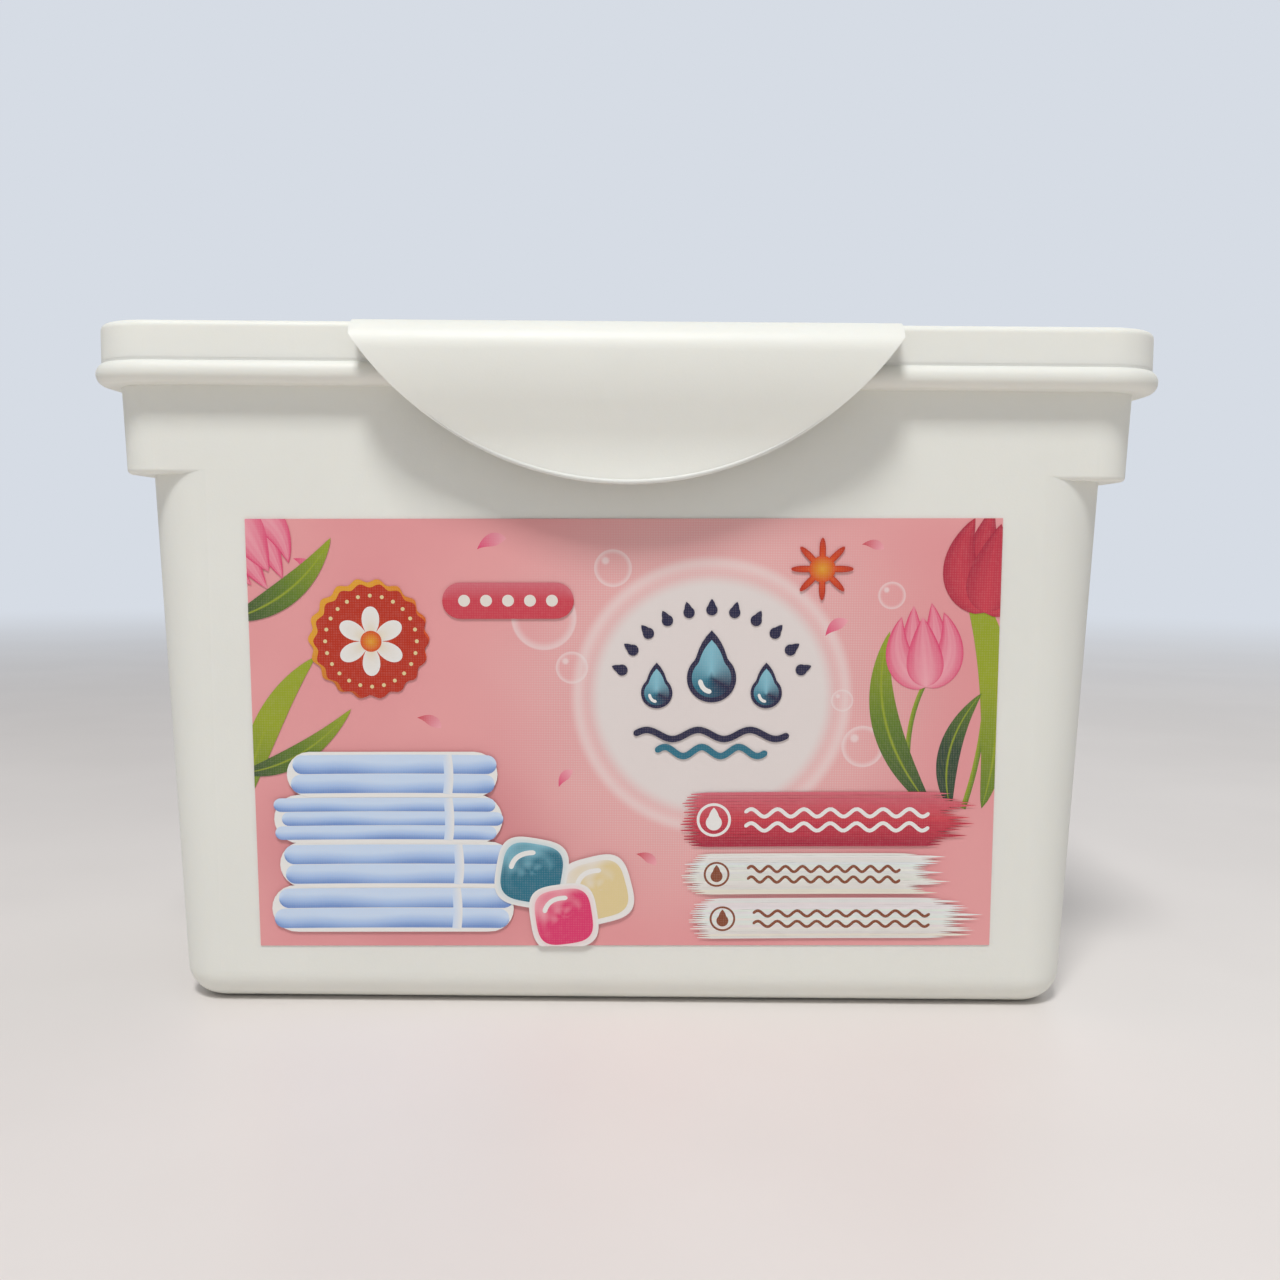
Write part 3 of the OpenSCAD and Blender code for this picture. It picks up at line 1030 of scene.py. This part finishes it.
    def banners(self) -> None:
        """Draws a rose bar and two white bars with drops and wavy lines."""
        for x, z, w, h, inks, mark in (
            (33.0, -13.8, 47, 9.0, (Ink.DEEP, Ink.RED, Ink.ROSE), Ink.WHITE),
            (31.0, -22.9, 42, 6.8, (Ink.CREAM, Ink.WHITE, Ink.WHITE), Ink.BROWN),
            (34.0, -30.4, 46, 6.8, (Ink.CREAM, Ink.WHITE, Ink.WHITE), Ink.BROWN),
        ):
            self.brushed(x, z, w, h, *inks)
            left = x - w / 2 + 5.0
            self.inks.raise_layer().plate(
                lambda u, v, c=Vector((left, z)), r=0.31 * h: c
                + Vector((math.cos(2 * math.pi * v), math.sin(2 * math.pi * v))) * r * (0.84 + 0.16 * u),
                plain(mark),
                (1, 40),
            )
            self.inks.drop(left, z - 0.05 * h, 0.4 * h, plain(mark))
            waves = 7 if mark is Ink.WHITE else 9
            span = w - 17
            for row in (-1, 1):
                self.inks.line(
                    lambda u, a=left + 5.0, b=z + row * 0.13 * h, s=span, n=waves, t=0.07 * h: Vector(
                        (a + s * u, b + t * math.sin(2 * math.pi * n * u))
                    ),
                    0.07 * h,
                    mark,
                    16 * waves,
                )

    def towel(self, x: float, z: float, w: float, h: float, folds: int) -> None:
        """Draws one folded towel, seen from its folded edge.

        Args:
            x: Its middle across.
            z: Its middle upwards.
            w: Its length.
            h: Its height.
            folds: Number of layers that it is folded into.
        """
        self.inks.raise_layer().bar(x, z, w + 1.1, h + 1.1, plain(Ink.WHITE))
        ply = h / folds
        for k in range(folds):
            slip = 0.7 * math.sin(2.4 * k + x)
            phase = self.chance.uniform(0, 6)

            def tint(u: float, v: float, shift: float = phase) -> Colour:
                """Shades a round fold from its lit top to its dark underside."""
                soft = 0.08 * math.sin(9 * u + shift) + 0.05 * math.sin(23 * u + shift)
                return blend(v + soft, Ink.FOLD.value, Ink.CLOTH.value, Ink.SKY.value, Ink.SKY.value)

            self.inks.raise_layer()
            path = curve(
                (x - w / 2 + slip, z + ply * (k + 0.5) - h / 2),
                (x, z + ply * (k + 0.5) - h / 2 + 0.25),
                (x + w / 2 + slip, z + ply * (k + 0.5) - h / 2),
            )
            self.inks.plate(eased(strip(path, capsule_width(w, ply * 0.97))), tint, (40, 10))
        self.inks.raise_layer()
        band = x + w * 0.27
        self.inks.plate(
            strip(curve((band, z - h / 2), (band + 0.5, z), (band, z + h / 2)), lambda u: 1.5),
            across(Ink.WHITE, Ink.SKY),
            (8, 2),
        )

    def towels(self) -> None:
        """Draws a stack of four folded towels."""
        for x, z, w, h, folds in (
            (-38.0, -28.6, 38.5, 6.8, 2),
            (-37.2, -21.2, 37.0, 6.6, 2),
            (-38.4, -13.6, 36.0, 7.0, 3),
            (-37.6, -6.2, 33.0, 6.4, 2),
        ):
            self.towel(x, z, w, h, folds)

    def printed_pods(self) -> None:
        """Draws three plain gel pods beside the towels."""
        for x, z, size, turn, dark, light in (
            (-4.5, -25.5, 6.6, 14, Ink.STRAW, Ink.CREAM),
            (-15.2, -22.6, 6.8, -10, Ink.TEAL, Ink.AQUA),
            (-10.0, -30.0, 6.4, 8, Ink.MAGENTA, Ink.BLUSH),
        ):

            def radius(v: float, r: float = size) -> float:
                """Returns the radius of a square with soft corners."""
                side, rise, power = abs(math.cos(2 * math.pi * v)), abs(math.sin(2 * math.pi * v)), 3.4
                return r * (side**power + rise**power) ** (-1 / power) * 0.86

            def tint(u: float, v: float, a: Ink = dark, b: Ink = light) -> Colour:
                """Shades the gel from a bright upper left to a deep lower right, with pale streaks."""
                lit = 0.5 + 0.5 * u * math.cos(2 * math.pi * (v - 0.34))
                streak = 0.16 * math.sin(11 * u + 14 * v) * math.sin(5 * u - 18 * v)
                return blend(lit + streak, a.value, a.value, b.value)

            self.inks.raise_layer().plate(
                round_spot(x, z, radius, math.radians(turn)), along(light, light, Ink.WHITE), (3, 64)
            )
            self.inks.raise_layer().plate(
                round_spot(x, z, lambda v, f=radius: 0.84 * f(v), math.radians(turn)), tint, (10, 72)
            )
            self.inks.raise_layer()
            gleam = curve(
                (x - 0.5 * size, z + 0.1 * size),
                (x - 0.42 * size, z + 0.52 * size),
                (x + 0.1 * size, z + 0.5 * size),
            )
            self.inks.line(gleam, 0.12 * size, Ink.WHITE)

    def print(self) -> bpy.types.Object:
        """Draws the whole print and returns it as one piece on the label.

        Returns:
            The print's object, with its place in its mesh.
        """
        for draw in (
            self.petals,
            self.garden,
            self.emblem,
            self.seal,
            self.pill,
            self.sun,
            self.banners,
            self.towels,
            self.printed_pods,
        ):
            draw()
        self.inks.crop(self.width / 2, self.height / 2)
        work = self.inks.closed(self.plate_mm)
        piece = new_piece("label_print", work, self.place())
        piece.data.materials.append(PrintedFilm("label_inks").material())
        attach(piece, "tub")
        return piece

    def dress(self, node: bpy.types.Object) -> None:
        """Gives the label's own film its printed ground."""
        x, z, r = self.glow
        ground = LabelGround("label_ground", (x, z + self.centre_z), r)
        node.data.materials.clear()
        node.data.materials.append(ground.material())


# Pods


class Gel(Enum):
    """The colours of the gels in a pod."""

    TEAL = linear(20, 128, 146)
    PINK = linear(226, 74, 128)
    CREAM = linear(238, 214, 138)
    BASE = linear(206, 226, 238)


@dataclass
class Pod:
    """One pod lying flat about its own centre: a sealed rim, a large chamber below, three above."""

    width: float = 34.0
    thickness: float = 16.6
    corner_r: float = 9.0
    seal_w: float = 2.0
    seal_t: float = 0.9
    base_reach: float = 20.0
    lobe_r: float = 9.5
    lobe_off: float = 6.8
    lobes: int = 3
    swirl_deg: float = 38.0
    crinkle_mm: float = 0.22
    cells: int = 46

    @property
    def half(self) -> float:
        """Half the pod's thickness."""
        return self.thickness / 2

    @property
    def base_r(self) -> float:
        """Radius of the large chamber's underside."""
        return (self.base_reach**2 + self.half**2) / self.thickness

    def rim_depth(self, x: float, y: float) -> float:
        """Returns how far a point lies inside the filled part's outline, which has round corners."""
        corner = self.corner_r - self.seal_w
        straight = self.width / 2 - self.seal_w - corner
        past = Vector((max(0.0, abs(x) - straight), max(0.0, abs(y) - straight)))
        inside = min(0.0, max(abs(x), abs(y)) - straight)
        return corner - past.length - inside if inside == 0.0 else corner - inside

    def lobe(self, x: float, y: float) -> tuple[float, int]:
        """Returns the height of the upper chambers at a point, and which of them is highest there."""
        r = math.hypot(x, y)
        turn = math.atan2(y, x) + math.radians(self.swirl_deg) * (1 - r / (self.width / 2))
        best, chosen = 0.0, self.lobes
        for k in range(self.lobes):
            angle = 2 * math.pi * (k + 1) / self.lobes
            off = math.hypot(
                r * math.cos(turn) - self.lobe_off * math.cos(angle),
                r * math.sin(turn) - self.lobe_off * math.sin(angle),
            )
            rise = self.half - self.lobe_r + math.sqrt(max(0.0, self.lobe_r**2 - off**2))
            if rise > best:
                best, chosen = rise, k
        return best, chosen

    def height(self, x: float, y: float, above: bool) -> tuple[float, int]:
        """Returns the film's height over the rim's middle on one side, and the chamber at that point."""
        depth = self.rim_depth(x, y)
        if above:
            rise, chamber = self.lobe(x, y)
        else:
            out = min(math.hypot(x, y), self.base_reach)
            rise, chamber = self.half - self.base_r + math.sqrt(self.base_r**2 - out**2), self.lobes
        ramp = min(max(depth / 2.4, 0.0), 1.0)
        crease = noise.noise(Vector((x * 0.55, y * 0.55, 3.0 if above else 9.0)))
        full = max(rise - self.crinkle_mm, 0.0) * math.sin(ramp * math.pi / 2) ** 0.7
        top = self.seal_t / 2 + max(0.0, full - self.seal_t / 2) + self.crinkle_mm * crease * ramp
        return top, chamber

    def mesh(self) -> bpy.types.Mesh:
        """Builds the pod's mesh in metres, with its gel colours.

        Returns:
            The mesh, lying flat about its own centre.
        """
        work = bmesh.new()
        gel = work.verts.layers.float_color.new("gel")
        inks = [Gel.TEAL, Gel.PINK, Gel.CREAM, Gel.BASE]
        for above in (True, False):
            grid = bmesh.ops.create_grid(
                work, x_segments=self.cells, y_segments=self.cells, size=self.width / 2
            )
            for vert in grid["verts"]:
                flat = self.rounded(vert.co.x, vert.co.y)
                rise, chamber = self.height(flat.x, flat.y, above)
                filled = min(max(self.rim_depth(flat.x, flat.y) / 0.9, 0.0), 1.0)
                vert.co = (flat.x, flat.y, rise if above else -rise)
                vert[gel] = (*inks[chamber].value, filled)
        rims = [edge for edge in work.edges if edge.is_boundary]
        bmesh.ops.bridge_loops(work, edges=rims)
        bmesh.ops.recalc_face_normals(work, faces=work.faces[:])
        bmesh.ops.scale(work, vec=(MM, MM, MM), verts=work.verts[:])
        for face in work.faces:
            face.smooth = True
        mesh = bpy.data.meshes.new("pod")
        work.to_mesh(mesh)
        work.free()
        return mesh

    def rounded(self, x: float, y: float) -> Vector:
        """Moves a point of a square grid so that the grid's edge follows the rim's round corners."""
        half = self.width / 2
        reach = max(abs(x), abs(y)) / half
        if reach == 0.0:
            return Vector((0.0, 0.0))
        edge = Vector((x, y)) / reach
        straight = half - self.corner_r
        past = Vector((max(0.0, abs(edge.x) - straight), max(0.0, abs(edge.y) - straight)))
        if past.x > 0.0 and past.y > 0.0:
            past *= self.corner_r / past.length
            edge = Vector(
                (math.copysign(straight + past.x, edge.x), math.copysign(straight + past.y, edge.y))
            )
        return edge * reach


@dataclass
class PodHeap:
    """The thirty pods in the tub: levels of flat pods beside a row on edge, then loose ones on top."""

    pod: Pod = field(default_factory=Pod)
    count: int = 30
    columns: int = 4
    flat_layers: int = 2
    full_levels: int = 2
    floor_z: float = 1.8
    pod_gap: float = 0.3
    nest: float = 0.4
    wall_gap: float = 1.0
    edge_gap: float = 3.0
    step_z: float = 86.9
    inner_half_x: float = 76.392
    inner_half_y: float = 33.992
    draft: float = 2.8

    def inner_x(self, z: float) -> float:
        """Returns half the width of the tub's inside at a height."""
        return self.inner_half_x - (self.step_z - z) * math.tan(math.radians(self.draft))

    def inner_y(self, z: float) -> float:
        """Returns half the depth of the tub's inside at a height."""
        return self.inner_half_y - (self.step_z - z) * math.tan(math.radians(self.draft))

    def level_z(self, level: int, flat: bool) -> float:
        """Returns where a level starts, in the row of its flat pods or in the other row."""
        stack = self.flat_layers * (self.pod.thickness + self.pod_gap - self.nest) + self.nest / 2
        edge = self.pod.width + self.pod_gap - self.nest
        first, second = (edge, stack) if flat else (stack, edge)
        return self.floor_z + math.ceil(level / 2) * first + level // 2 * second

    @staticmethod
    def sway(k: int, use: int) -> float:
        """Returns a number from -1 to 1 that differs from pod to pod and from one use to the next."""
        return math.sin(math.radians(137.5 * k + 61 * use))

    def place(self, k: int) -> Matrix:
        """Returns where a pod lies, counted from 0.

        Args:
            k: The pod's number.

        Returns:
            Its turn and place, in metres.
        """
        width, half = self.pod.width, self.pod.half
        level_pods = self.columns * (self.flat_layers + 1)
        level = min(self.full_levels, k // level_pods)
        slot = k - level * level_pods
        row, column = divmod(slot, self.columns)
        loose = level == self.full_levels
        leans, stands = loose and row == 1, not loose and row == self.flat_layers
        low = self.level_z(level, not leans and not stands)
        rear = 1 if level % 2 == 0 else -1
        room = 2 * self.inner_y(self.step_z) - 2 * self.wall_gap - self.pod_gap - width
        lean = math.acos(min(1.0, room / width))
        if stands:
            y = -rear * (self.inner_y(low) - self.edge_gap - half)
            z, turn = width / 2, math.pi / 2
        elif leans:
            y = -rear * (self.inner_y(low + 2 * half) - self.wall_gap - width / 2 * math.cos(lean))
            z, turn = half + (self.pod.base_r - half) * (1 - math.cos(lean)), -rear * lean
        else:
            y = rear * (self.inner_y(low + half) - self.wall_gap - width / 2)
            z, turn = half + row * (2 * half + self.pod_gap - self.nest), 0.0
        reach = self.inner_x(low) - self.wall_gap - width / 2
        x = -reach + 2 * reach * column / (self.columns - 1)
        tilt = 2 if loose and not leans else 1
        sway = Euler(
            (
                math.radians(tilt * self.sway(k, 1)),
                math.radians(tilt * self.sway(k, 2)),
                math.radians(90 * (k % self.pod.lobes) + tilt * self.sway(k, 3)),
            )
        )
        return (
            Matrix.Translation(Vector((x, y, low + z)) * MM)
            @ Matrix.Rotation(turn, 4, "X")
            @ sway.to_matrix().to_4x4()
        )

    def build(self) -> list[bpy.types.Object]:
        """Builds the pods, each in the place of its solid.

        Returns:
            The pods' objects.
        """
        model = self.pod.mesh()
        model.materials.append(GelFilm("gel_in_film").material())
        pieces = []
        for k in range(self.count):
            mesh = model.copy()
            mesh.transform(self.place(k))
            piece = bpy.data.objects.new(f"pod_look_{k + 1:02d}", mesh)
            bpy.context.scene.collection.objects.link(piece)
            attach(piece, "tub")
            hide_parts(f"pod_{k + 1:02d}")
            pieces.append(piece)
        return pieces


# Stage


@dataclass
class Stage:
    """Floor, lamps and camera."""

    camera_mm: tuple[float, float, float] = (2.28, -239.1, 75.5)
    pitch: float = 4.04
    yaw: float = -0.03
    roll: float = 0.45
    lens: float = 36.06
    sensor: float = 36.0
    backdrop: Colour = linear(214, 220, 229)
    floor_r: float = 6.0
    floor_z: float = -0.00005
    sky_level: float = 0.43
    fade_mm: tuple[float, float] = (260.0, 1500.0)
    middle: Vector = field(default_factory=lambda: Vector((0, 0, 0.06)))

    def floor(self) -> bpy.types.Object:
        """Builds the floor, which the camera sees melt into the backdrop's colour in the distance."""
        work = bmesh.new()
        bmesh.ops.create_circle(work, cap_ends=True, segments=64, radius=self.floor_r)
        ground = new_piece("floor", work, Matrix.Translation((0, 0, self.floor_z)))
        paint = Paint("pale_floor")
        point = paint.place()
        cloud = paint.noise(point, 0.01, 3.0)
        tone = paint.mix(paint.steps(cloud, 0.3, 0.7), linear(228, 222, 218), linear(233, 227, 223))
        lit = paint.finish(Base_Color=tone, Roughness=0.42)
        far = paint.length(point)
        seen = paint.node("LightPath", output="Is Camera Ray")
        plain_light = paint.node("Emission", None, {"Color": self.backdrop, "Strength": 1.0})
        share = seen * paint.steps(far, self.fade_mm[0], self.fade_mm[1])
        shader = Wire(paint, paint.shader.outputs[0])
        mixed = paint.node("MixShader", None, {0: share, 1: shader, 2: plain_light})
        paint.put(paint.output.inputs["Surface"], mixed)
        ground.data.materials.append(lit)
        return ground

    def lamp(self, name: str, towards: Vector, far: float, size: float, watts: float) -> None:
        """Adds a square area lamp that faces the object.

        Args:
            name: The lamp's name.
            towards: The direction in which it hangs, seen from the object.
            far: Its distance in metres.
            size: The length of its side.
            watts: Its power.
        """
        data = bpy.data.lights.new(name, "AREA")
        data.shape = "SQUARE"
        data.size = size
        data.energy = watts
        lamp = bpy.data.objects.new(name, data)
        lamp.location = self.middle + towards.normalized() * far
        lamp.rotation_euler = (self.middle - lamp.location).to_track_quat("-Z", "Y").to_euler()
        bpy.context.scene.collection.objects.link(lamp)

    def world(self) -> None:
        """Sets a pale even sky, which the camera sees in the backdrop's colour."""
        world = bpy.data.worlds.new("pale_sky")
        bpy.context.scene.world = world
        world.use_nodes = True
        nodes, links = world.node_tree.nodes, world.node_tree.links
        nodes.clear()
        light, seen = nodes.new("ShaderNodeBackground"), nodes.new("ShaderNodeBackground")
        light.inputs[0].default_value = (0.95, 0.97, 1.0, 1)
        light.inputs[1].default_value = self.sky_level
        seen.inputs[0].default_value = (*self.backdrop, 1)
        path, mixed = nodes.new("ShaderNodeLightPath"), nodes.new("ShaderNodeMixShader")
        out = nodes.new("ShaderNodeOutputWorld")
        links.new(path.outputs["Is Camera Ray"], mixed.inputs[0])
        links.new(light.outputs[0], mixed.inputs[1])
        links.new(seen.outputs[0], mixed.inputs[2])
        links.new(mixed.outputs[0], out.inputs[0])

    def camera(self) -> None:
        """Puts the camera where the photograph was taken from."""
        data = bpy.data.cameras.new("camera")
        data.lens = self.lens
        data.sensor_width = self.sensor
        data.sensor_fit = "HORIZONTAL"
        camera = bpy.data.objects.new("camera", data)
        turn = (
            Matrix.Rotation(math.radians(self.yaw), 4, "Z")
            @ Matrix.Rotation(math.radians(90 - self.pitch), 4, "X")
            @ Matrix.Rotation(math.radians(self.roll), 4, "Z")
        )
        camera.matrix_world = Matrix.Translation(Vector(self.camera_mm) * MM) @ turn
        bpy.context.scene.collection.objects.link(camera)
        bpy.context.scene.camera = camera

    def build(self) -> None:
        """Builds the whole stage."""
        self.floor()
        self.world()
        self.lamp("key", Vector((-0.08, -0.52, 0.85)), 1.0, 0.2, 6.2)
        self.lamp("rear", Vector((0.5, 1.0, 0.5)), 3.0, 2.0, 6.0)
        self.camera()
        bpy.context.scene.view_settings.view_transform = "Standard"


def main() -> None:
    """Builds and reports everything in order."""
    logging.basicConfig(level=logging.INFO)
    nodes = frame["nodes"]
    finishes = {
        "tub": MouldedPlastic("tub_plastic", linear(236, 236, 228)),
        "lid": MouldedPlastic("lid_plastic", linear(238, 238, 230)),
    }
    for name, finish in finishes.items():
        nodes[name].data.materials.clear()
        nodes[name].data.materials.append(finish.material())
        log.info("dressed %s", name)
    SealRidge().build(nodes["tub"].data.materials[0])
    TabLip().build(nodes["lid"].data.materials[0])
    label = Label()
    label.dress(nodes["front_label"])
    printed = label.print()
    log.info("%s: %d faces", printed.name, len(printed.data.polygons))
    pods = PodHeap().build()
    log.info("%d pods of %d faces", len(pods), len(pods[0].data.polygons))
    Stage().build()


if __name__ == "__main__":
    main()
